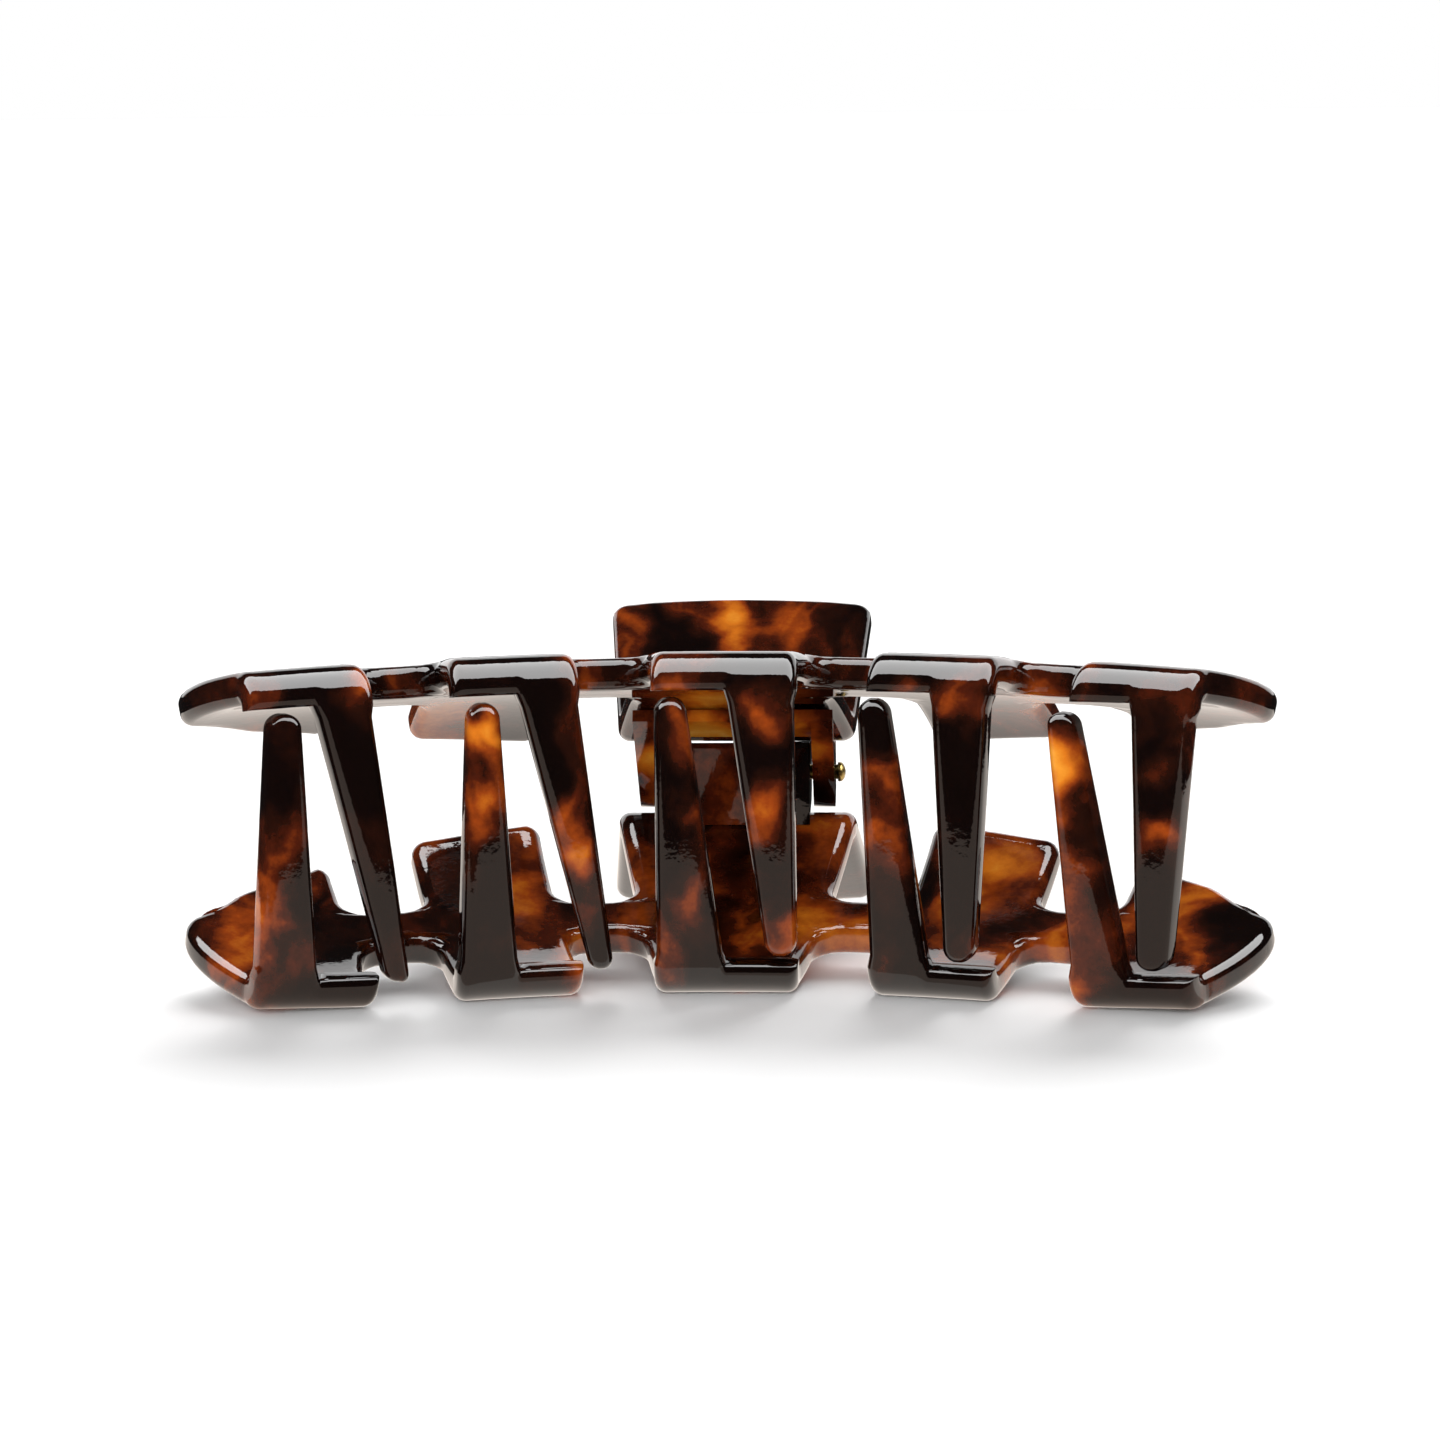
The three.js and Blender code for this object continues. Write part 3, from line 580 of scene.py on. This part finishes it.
def blade_rungs(blade, is_middle, share):
    """Distances of each rung's points, and how far each rung's ends are rounded in."""
    def line(inner, outer):
        """A distance that runs evenly from the blade's inner edge to its outer edge."""
        return inner + (outer - inner) * (share + 1) / 2

    if is_middle:
        tip = -HANDLE_ARC - HANDLE_LENGTH
        arch = HANDLE_ARCH * share ** 2
        rungs = [tip + d + arch * (1 - d / HANDLE_CORNER) for d in HANDLE_END]
        insets = HANDLE_CORNER * quarter_round(HANDLE_END / HANDLE_CORNER)
        bend, waist = line(-HANDLE_ARC, -HANDLE_ARC), line(0, 0)
        behind = line(WAIST_ARC, WAIST_ARC)
        rungs += stretch(rungs[-1], bend, 14)
        rungs += stretch(bend, waist, 4)
        rungs += stretch(waist, behind, 4)
    else:
        behind = line(*blade["end"]) + BLADE_CORNER
        rungs = [behind - BLADE_CORNER + d for d in BLADE_END]
        insets = BLADE_CORNER * quarter_round(BLADE_END / BLADE_CORNER)
    start = np.maximum(SPINE_REAR - FILLET, behind)
    rear, front = line(SPINE_REAR, SPINE_REAR), line(SPINE_FRONT, SPINE_FRONT)
    fold = fold_start(blade["angle"] + share * blade["spread"])
    rungs += stretch(behind, start, 8)
    rungs += [start + (rear - start) * t for t in TO_SPINE]
    rungs += list(crowd(rear, front, True, True, 3).T[1:])
    rungs += [front + FILLET * t for t in FROM_SPINE]
    rungs += stretch(front + FILLET, fold, 6)
    rungs += list(crowd(fold, face_end(blade, share), False, True, 9).T[1:])
    return rungs, np.pad(insets, (0, len(rungs) - len(insets)))


def blade_ladders(index, tooth):
    """The rungs of a blade and its tooth, as arrays of (angle, distance)."""
    blade = BLADES[abs(index)]
    is_middle, hand = index == 0, -1 if index < 0 else 1
    centre = hand * blade["angle"]
    left, right = (0, 1) if hand > 0 else (1, 0)
    widths = blade["front"][left], blade["front"][right]
    aside = across(*widths)
    rungs, insets = blade_rungs(blade, is_middle, hand * aside / np.where(aside < 0, *widths))
    ladder = []
    for distances, inset in zip(rungs, insets):
        wide = [half_width(blade, side, distances[0 if side == left else -1]) - inset
                for side in (left, right)]
        angles = fan_angle(centre, distances, across(*wide), is_middle)
        ladder.append(np.stack([angles, distances], -1))

    lean, longer, tip_width = tooth
    length = TOOTH_LENGTH + longer
    round_tip = tip_width / 2
    straight = length - round_tip
    outer = widths[1] - TOOTH_STEP
    down = np.concatenate([np.linspace(0, straight, 24)[1:], length - round_tip * TOOTH_END])
    taper = np.clip(down / straight, 0, 1)
    inset = round_tip * quarter_round(np.clip((length - down) / round_tip, 0, 1))
    from_left = TOOTH_ROOT + (outer - tip_width - TOOTH_ROOT) * taper + inset
    places = crowd(from_left, outer - inset, True, True, 4)
    down = down[:, None]
    distances = face_end(blade, hand * places / widths[1]) + down
    angles = fan_angle(centre, distances, places + lean * down / TOOTH_LENGTH, is_middle)
    root = ladder[-1][-places.shape[1]:]
    return np.array(ladder), np.concatenate([root[None], np.stack([angles, distances], -1)])


def spine_rungs(ladder):
    """The rungs that cross the spine: those whose every point lies within it."""
    inside = (ladder[:, :, 1] > SPINE_REAR - 1e-6) & (ladder[:, :, 1] < SPINE_FRONT + 1e-6)
    return ladder[inside.all(1)]


def spine_ladder(left, right):
    """Joins the right edge of one blade to the left edge of the next along the spine."""
    start, stop = spine_rungs(left)[:, -1:], spine_rungs(right)[:, :1]
    return start + (stop - start) * np.linspace(0, 1, SPINE_POINTS)[None, :, None]


print("blades at the fold, from the middle out, are this wide in mm:",
      [sum(blade["front"]) for blade in BLADES])


# %% [markdown]
# ## From pattern to rounded acetate
# The ladders share points, so they are first merged into one patchwork. An edge used by
# only one cell is a cut edge. How thick the sheet is at a point then depends only on how
# near the closest cut edge is: full thickness inland, and a quarter circle down to a
# narrow flat at the edge itself. A Bevel modifier could round the edges too, but it
# catches on the small cells of the tooth tips, and this formula cannot.

# %% Merge, find the cut edges, round them and bend the sheet
def grid_cells(rows, columns, first):
    """Four-cornered cells of a grid whose points are numbered row by row."""
    number = first + np.arange(rows * columns).reshape(rows, columns)
    corners = [number[:-1, :-1], number[1:, :-1], number[1:, 1:], number[:-1, 1:]]
    return np.stack(corners, -1).reshape(-1, 4)


def nearest_edge(points, starts, stops):
    """Distance from each point to the nearest of many straight segments, in batches."""
    run = stops - starts
    length = (run * run).sum(-1)
    nearest = np.full(len(points), np.inf)
    for part in np.array_split(np.arange(len(points)), 24):
        away = points[part, None] - starts[None]
        t = np.clip((away * run).sum(-1) / length, 0, 1)
        gap = away - t[..., None] * run
        nearest[part] = np.sqrt((gap * gap).sum(-1)).min(1)
    return nearest


def claw_surface(teeth):
    """Points and faces of a claw, the upper way up, about the middle of the waist."""
    last = len(BLADES) - 1
    made = [blade_ladders(i - last, tooth) for i, tooth in enumerate(teeth)]
    ladders = [(ladder, i == last) for i, pair in enumerate(made) for ladder in pair]
    ladders += [(spine_ladder(a[0], b[0]), False) for a, b in zip(made, made[1:])]
    marked, cells, first = [], [], 0
    for ladder, is_middle in ladders:
        rows, columns = ladder.shape[:2]
        flag = np.full((rows * columns, 1), float(is_middle))
        marked.append(np.concatenate([ladder.reshape(-1, 2), flag], 1))
        cells.append(grid_cells(rows, columns, first))
        first += rows * columns
    marked, cells = np.concatenate(marked), np.concatenate(cells)
    keys, chosen, merged = np.unique(
        np.round(marked[:, :2], 4), axis=0, return_index=True, return_inverse=True)
    cells = merged.reshape(-1)[cells]
    angle, distance, flag = marked[chosen].T

    def bent(offset):
        """All points at an offset off the mid wall."""
        plain = wall_point(angle, distance, offset, False)
        return np.where(flag[:, None] > 0, wall_point(angle, distance, offset, True), plain)

    pairs = np.stack([cells, np.roll(cells, -1, 1)], -1).reshape(-1, 2)
    code = pairs.min(1) * len(keys) + pairs.max(1)
    _, back, count = np.unique(code, return_inverse=True, return_counts=True)
    cut = pairs[count[back.reshape(-1)] == 1]
    middle = bent(0.0)
    inland = np.minimum(nearest_edge(middle, middle[cut[:, 0]], middle[cut[:, 1]]), EDGE_ROUND)
    round_off = EDGE_ROUND - np.sqrt(EDGE_ROUND ** 2 - (EDGE_ROUND - inland) ** 2)
    thick = SHEET / 2 - round_off
    points = np.concatenate([bent(thick), bent(-thick)])
    under = len(keys)
    walls = np.stack([cut[:, 1], cut[:, 0], cut[:, 0] + under, cut[:, 1] + under], -1)
    return points, np.concatenate([cells, cells[:, ::-1] + under, walls]).tolist()


def add_piece(name, points, faces, look):
    """A smooth piece at the origin, from points in millimetres and a list of faces."""
    mesh = bpy.data.meshes.new(name)
    mesh.from_pydata((points * MM).tolist(), [], faces)
    mesh.validate()
    mesh.polygons.foreach_set("use_smooth", np.ones(len(mesh.polygons), bool))
    return add_object(name, mesh, look)


TURNED_OVER = np.array([-1, 1, -1])          # half a turn about Y
points, faces = claw_surface(UPPER_TEETH)
upper_claw = add_piece("upper_claw_acetate", points + WAIST, faces, upper_acetate)
points, faces = claw_surface(LOWER_TEETH)
lower_claw = add_piece("lower_claw_acetate", points * TURNED_OVER + WAIST, faces, lower_acetate)
for piece, node, body in [
    (upper_claw, "upper_claw", "upper_jaw"),
    (lower_claw, "lower_claw", "lower_jaw"),
]:
    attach(piece, body)
    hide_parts(node)
    print(piece.name, "has", len(piece.data.polygons), "faces")

# %% [markdown]
# ## Hinge brackets
# Two small acetate blocks are bonded under the claws: the upper has a pad with two ears,
# and the lower an upright web whose ears fit between them. Their outlines are already
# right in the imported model, so a merged copy of each is used, its flat faces are joined
# up, and a Bevel modifier rounds the edges as tumbling does.

# %% Softened hinge brackets
def softened(node, name, look, width):
    """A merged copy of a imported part, with flat faces joined and its edges bevelled."""
    work = bmesh.new()
    work.from_mesh(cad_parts[node].data)
    bmesh.ops.remove_doubles(work, verts=work.verts, dist=0.002 * MM)
    bmesh.ops.dissolve_limit(
        work, angle_limit=np.radians(1), verts=work.verts, edges=work.edges)
    mesh = bpy.data.meshes.new(name)
    work.to_mesh(mesh)
    work.free()
    mesh.polygons.foreach_set("use_smooth", np.ones(len(mesh.polygons), bool))
    mesh.polygons.foreach_set("material_index", np.zeros(len(mesh.polygons), np.int32))
    piece = add_object(name, mesh, look)
    bevel = piece.modifiers.new("tumbled_edges", "BEVEL")
    bevel.width = width * MM
    bevel.segments = 3
    bevel.limit_method = "ANGLE"
    bevel.angle_limit = np.radians(35)
    bevel.harden_normals = True
    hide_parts(node)
    return piece


BRACKET_FLAMES = [
    (-6, 5, 22.5, 6, 0.36), (6, 5, 22.5, 6, 0.36), (0, 5, 22, 5, 0.34), (9, 11, 21, 3, 0.3),
    (-9, 11, 21, 4, 0.34), (9, 13, 15.5, 3.2, -0.3), (-9, 13, 15, 3, 0.1),
]
WEB_FLAMES = [(1.5, 8, 19.8, 2.8, 0.3), (-5, 8, 17, 4, -0.06), (4.5, 8, 14, 5, -0.08)]
upper_bracket = softened(
    "upper_hinge_bracket", "upper_bracket_acetate",
    tortoiseshell("polished_tortoiseshell_bracket", BRACKET_FLAMES, 1.27), 0.4)
lower_bracket = softened(
    "lower_hinge_bracket", "lower_bracket_acetate",
    tortoiseshell("polished_tortoiseshell_web", WEB_FLAMES, 2.16), 0.35)
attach(upper_bracket, "upper_jaw")
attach(lower_bracket, "lower_jaw")
print("brackets softened")

# %% [markdown]
# ## The hinge pin
# The pin is a turned brass rivet: a straight shank with a chamfered end, and a small
# domed head that stands just proud of the right-hand ear. Anything turned is a profile
# carried round an axis, so the pin is one row of (place along, radius) pairs. Antique
# brass is dulled by oxide, so its roughness and colour wander a little.

# %% Brass pin
def lathe(profile, rounds):
    """Carries (along X, radius) pairs round the pin axis: y, z = axis + r (cos, sin)."""
    along, radius = np.array(profile, float).T
    angle = np.linspace(0, 2 * np.pi, rounds, endpoint=False)
    ring = np.stack([
        np.repeat(along[:, None], rounds, 1),
        pin_axis[1] + radius[:, None] * np.cos(angle),
        pin_axis[2] + radius[:, None] * np.sin(angle),
    ], -1).reshape(-1, 3)
    ends = np.array([[along[0], *pin_axis[1:]], [along[-1], *pin_axis[1:]]])
    rows = len(along)
    number = np.arange(rows * rounds).reshape(rows, rounds)
    onward = np.roll(number, -1, 1)
    sides = np.stack([number[:-1], number[1:], onward[1:], onward[:-1]], -1).reshape(-1, 4)
    first, last = rows * rounds, rows * rounds + 1
    start = np.stack([np.full(rounds, first), number[0], onward[0]], -1)
    stop = np.stack([np.full(rounds, last), onward[-1], number[-1]], -1)
    faces = sides[:, ::-1].tolist() + start[:, ::-1].tolist() + stop[:, ::-1].tolist()
    return np.concatenate([ring, ends]), faces


def antique_brass(name):
    """Brass rod, turned and then dulled: warm metal under a thin uneven oxide."""
    material, tree, shader = blank_material(name)
    where = add(tree, "ShaderNodeTexCoord").outputs["Object"]
    oxide = add(tree, "ShaderNodeTexNoise", {"Vector": where, "Scale": 1 / (0.5 * MM)})
    tint = add(tree, "ShaderNodeValToRGB", {"Fac": oxide.outputs["Fac"]})
    set_ramp(tint, [(0.35, "#6f5c34"), (0.65, "#b79d5e")])
    rough = add(tree, "ShaderNodeMapRange", {
        "Value": oxide.outputs["Fac"], "To Min": 0.2, "To Max": 0.42,
    })
    tree.links.new(tint.outputs["Color"], shader.inputs["Base Color"])
    tree.links.new(rough.outputs["Result"], shader.inputs["Roughness"])
    shader.inputs["Metallic"].default_value = 1.0
    return material


SHANK, CHAMFER = 0.75, 0.15        # the shank's radius, and the bevel at its left end
HEAD, DOME, RIM = 1.0, 0.8, 0.24   # the head's radius, its height and its upright part
left_end = pin_low[0] / MM
shoulder = pin_high[0] / MM - DOME
dome_turn = np.radians(np.linspace(8, 88, 12))
pin_profile = [
    (left_end, 0.35), (left_end, SHANK - CHAMFER), (left_end + 0.04, SHANK - 0.06),
    (left_end + CHAMFER, SHANK), (left_end + 0.5, SHANK), (shoulder - 0.3, SHANK),
    (shoulder - 0.02, SHANK), (shoulder, SHANK + 0.02), (shoulder, HEAD - 0.08),
    (shoulder + 0.06, HEAD), (shoulder + RIM, HEAD),
    *zip(shoulder + RIM + (DOME - RIM) * np.sin(dome_turn), HEAD * np.cos(dome_turn)),
]
pin = add_piece("brass_hinge_pin", *lathe(pin_profile, 64), antique_brass("antique_brass"))
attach(pin, "upper_jaw")
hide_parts("hinge_pin")
print("pin is", round(pin_high[0] / MM - left_end, 2), "mm long")

# %% [markdown]
# ## The spring
# A torsion spring of drawn wire sits round the pin, with one leg on each handle. It is a
# tube carried along a path: a straight leg, six turns of helix, a straight leg. The stretch
# between its two ends turns smoothly from the lower jaw to the upper one, which is what
# winding up looks like.

# %% Torsion spring
WIRE = 0.45                        # the wire's radius, in mm
COIL = 2.4                         # the coil's radius at mid wire
COIL_HALF_WIDTH = 3.4
COIL_TURNS = 6
LEG_REACH = 11.0                   # where a leg bears on its handle, along the tab
BOND_GAP = 0.3                     # between a leg and the handle
LEG_END = 0.7                      # how far a leg's cut end is drawn in


def spring_path():
    """Points about the pin: leg to the lower handle, helix, leg to the upper one."""
    seat = wall_point(np.array(0.0), np.array(-HANDLE_ARC), -SHEET / 2 - BOND_GAP - WIRE, True)
    off = seat[2] * np.cos(HANDLE_SLOPE) - (seat[1] - PIN_BEHIND_WAIST) * np.sin(HANDLE_SLOPE)
    far = np.hypot(LEG_REACH, off)
    far_turn = HANDLE_SLOPE + np.arctan2(off, LEG_REACH)
    leave = far_turn + np.arccos(COIL / far)

    def around(x, radius, turn):
        """A point at a turn round the pin axis."""
        return np.stack(np.broadcast_arrays(x, radius * np.cos(turn), radius * np.sin(turn)), -1)

    sweep = 2 * np.pi * (COIL_TURNS + 1) - 2 * leave
    wound = np.linspace(0, 1, 48 * COIL_TURNS + 1)
    coil = around(COIL_HALF_WIDTH * (2 * wound - 1), COIL, -leave - wound * sweep)
    share = np.linspace(0, 1, 25)[:-1, None]
    low = around(-COIL_HALF_WIDTH, far, -far_turn)
    high = around(COIL_HALF_WIDTH, far, far_turn)
    return np.concatenate([low + (coil[0] - low) * share, coil,
                           high + (coil[-1] - high) * share[::-1]])


def tube(path, radius, sides):
    """Carries a ring along a path. Its first axis stays square to the path and to X."""
    ahead = np.gradient(path, axis=0)
    ahead /= np.linalg.norm(ahead, axis=1, keepdims=True)
    side = np.array([1.0, 0, 0]) - ahead * ahead[:, :1]
    side /= np.linalg.norm(side, axis=1, keepdims=True)
    other = np.cross(ahead, side)
    angle = np.linspace(0, 2 * np.pi, sides, endpoint=False)[None, :, None]
    taper = np.ones(len(path))
    taper[[0, -1]] = LEG_END
    ring = side[:, None] * np.cos(angle) + other[:, None] * np.sin(angle)
    points = path[:, None] + radius * taper[:, None, None] * ring
    number = np.arange(len(path) * sides).reshape(len(path), sides)
    onward = np.roll(number, -1, 1)
    faces = np.stack([number[:-1], onward[:-1], onward[1:], number[1:]], -1).reshape(-1, 4)
    return points.reshape(-1, 3), faces.tolist() + [number[0, ::-1].tolist(), number[-1].tolist()]


def spring_steel(name):
    """Drawn spring wire: bright steel with fine marks from the die."""
    material, tree, shader = blank_material(name)
    where = add(tree, "ShaderNodeTexCoord").outputs["Object"]
    marks = add(tree, "ShaderNodeTexNoise", {
        "Vector": where, "Scale": 1 / (0.25 * MM), "Detail": 4.0,
    })
    rough = add(tree, "ShaderNodeMapRange", {
        "Value": marks.outputs["Fac"], "To Min": 0.16, "To Max": 0.36,
    })
    shader.inputs["Base Color"].default_value = linear("#c3c4c6")
    shader.inputs["Metallic"].default_value = 1.0
    tree.links.new(rough.outputs["Result"], shader.inputs["Roughness"])
    return material


coil_points, coil_faces = tube(spring_path(), WIRE, 16)
coil_points += [0, *pin_axis[1:]]
spring = add_piece("spring_wire", coil_points, coil_faces, spring_steel("drawn_spring_steel"))
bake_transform(spring)
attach(spring, "lower_jaw")
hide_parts("torsion_spring")
print("spring wire has", len(coil_faces), "faces")
